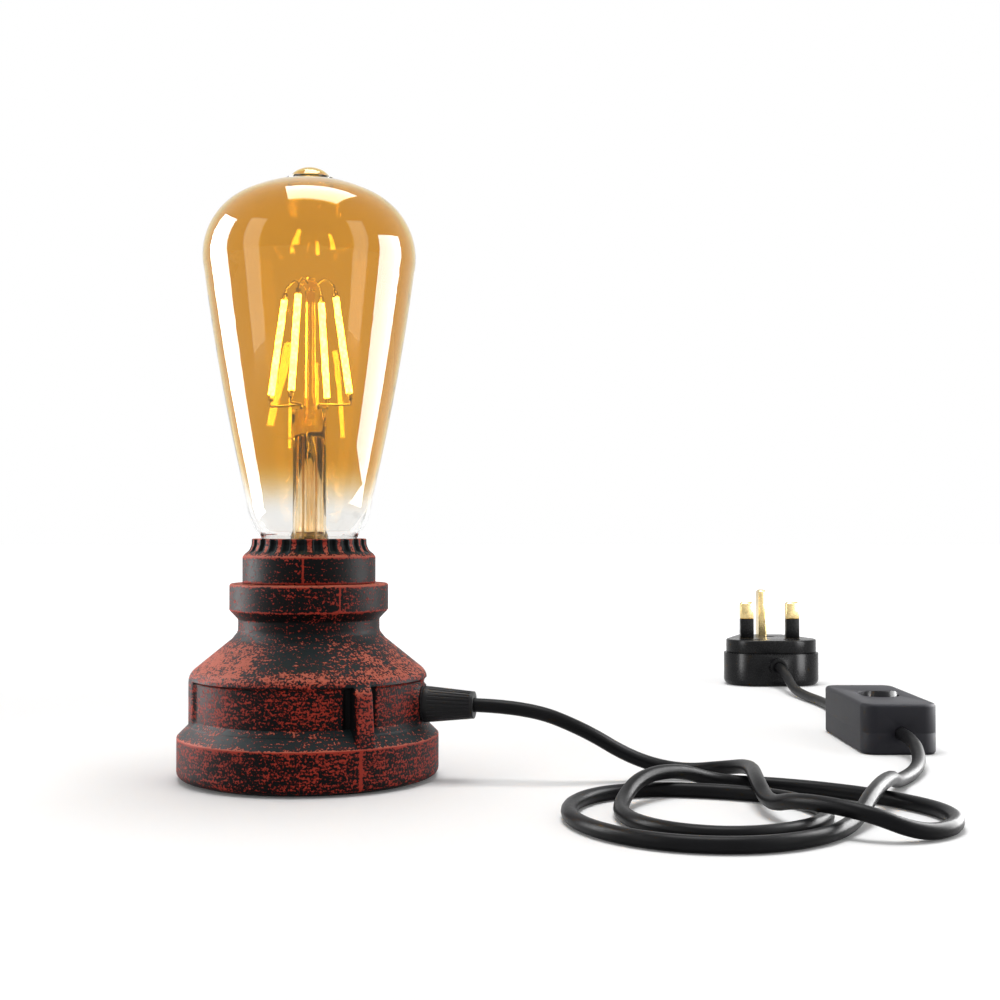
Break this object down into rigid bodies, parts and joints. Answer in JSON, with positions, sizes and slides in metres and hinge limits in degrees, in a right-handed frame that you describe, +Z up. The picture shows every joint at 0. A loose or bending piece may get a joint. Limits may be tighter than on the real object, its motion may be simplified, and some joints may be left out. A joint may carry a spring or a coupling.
{
  "type": "table lamp",
  "caption": "Industrial table lamp: cast pipe-reducer base in worn red paint, fluted collar, filament bulb that unscrews, and a cord with rocker switch and mains plug",
  "frame": {"origin": "on the lamp's axis, on the table that its pad rests on", "axes": "+Z up along the bulb, +X to the side that the cord leaves by as seen from the front, -Y towards the viewer"},
  "size_m": [0.2523, 0.4065, 0.1865],
  "materials": {
    "worn_red_casting": "dark casting dry-brushed with worn red paint",
    "worn_red_collar": "dark alloy dry-brushed with worn red paint",
    "zinc_steel": "bright zinc plate",
    "foam_pad": "black foam",
    "porcelain": "white glaze",
    "socket_aluminium": "drawn",
    "brass": "bright",
    "cap_brass": "nickel-plated brass",
    "pin_brass": "bright, machined",
    "amber_glass": "amber tint above, clear below",
    "clear_glass": "clear",
    "filament_glow": "phosphor-coated, lit",
    "nickel_wire": "bright",
    "black_insulator": "black glass insulator",
    "black_nylon": "moulded nylon",
    "black_cord": "satin PVC",
    "brown_core": "PVC insulation",
    "blue_core": "PVC insulation",
    "switch_plastic": "fine-grained",
    "rocker_plastic": "satin",
    "plug_plastic": "polished"
  },
  "bodies": {
    "lamp": {"base_casting": "worn_red_casting", "bottom_plate": "zinc_steel", "bottom_screws": "zinc_steel", "bracket_screws": "zinc_steel", "centre_contact": "brass", "common_contact": "brass", "cord_clamp": "black_nylon", "cord_flex": "black_cord", "cord_lead": "black_cord", "cord_tail": "black_cord", "core_terminals": "brass", "earth_pin": "pin_brass", "fixed_contact": "brass", "foot_pad": "foam_pad", "fuse_clips": "brass", "gland_body": "black_nylon", "gland_locknut": "black_nylon", "gland_nut": "black_nylon", "holder_bracket": "zinc_steel", "holder_collar": "worn_red_collar", "holder_nipple": "zinc_steel", "lampholder_body": "porcelain", "lampholder_shell": "socket_aluminium", "live_cores": "brown_core", "live_pin": "pin_brass", "live_wire": "brown_core", "neutral_cores": "blue_core", "neutral_pin": "pin_brass", "neutral_wire": "blue_core", "nipple_nuts": "zinc_steel", "pin_sleeves": "black_nylon", "plug_base": "plug_plastic", "plug_cord_end": "black_cord", "plug_cover": "plug_plastic", "plug_fuse": "porcelain", "plug_screws": "zinc_steel", "side_contact": "brass", "switch_base": "switch_plastic", "switch_cord_ends": "black_cord", "switch_cover": "switch_plastic", "switch_screws": "zinc_steel", "terminal_screws": "zinc_steel", "through_link": "brass"},
    "bulb_foot": {"cap_button": "cap_brass"},
    "bulb": {"bulb_cap": "cap_brass", "bulb_filaments": "filament_glow", "bulb_glass": "amber_glass", "bulb_stem": "clear_glass", "bulb_wires": "nickel_wire", "cap_insulator": "black_insulator", "exhaust_tube": "clear_glass", "filament_ends": "nickel_wire", "led_driver": "black_insulator", "stem_leads": "nickel_wire"},
    "rocker": {"switch_rocker": "rocker_plastic", "rocker_plunger": "brass", "plunger_spring": "nickel_wire"},
    "seesaw": {"seesaw_contact": "brass"}
  },
  "joints": [
    {"name": "bulb_lift", "type": "slide", "parent": "lamp", "child": "bulb_foot", "axis": [0, 0, 1], "range_m": [0, 0.01815]},
    {"name": "bulb_turn", "type": "hinge", "parent": "bulb_foot", "child": "bulb", "pos_m": [0, 0, 0.06], "axis": [0, 0, 1], "range_deg": [0, 1800]},
    {"name": "rocker_tilt", "type": "hinge", "parent": "lamp", "child": "rocker", "pos_m": [0.192, 0.0705, 0.0125], "axis": [1, 0, 0], "range_deg": [0, 22]},
    {"name": "seesaw_tilt", "type": "hinge", "parent": "lamp", "child": "seesaw", "pos_m": [0.192, 0.0705, 0.004], "axis": [1, 0, 0], "range_deg": [-12, 0]}
  ],
  "couplings": [
    {"joint": "bulb_lift", "follows": "bulb_turn", "m_per_rad": 0.00057757},
    {"joint": "seesaw_tilt", "follows": "rocker_tilt", "ratio": -0.54545}
  ]
}
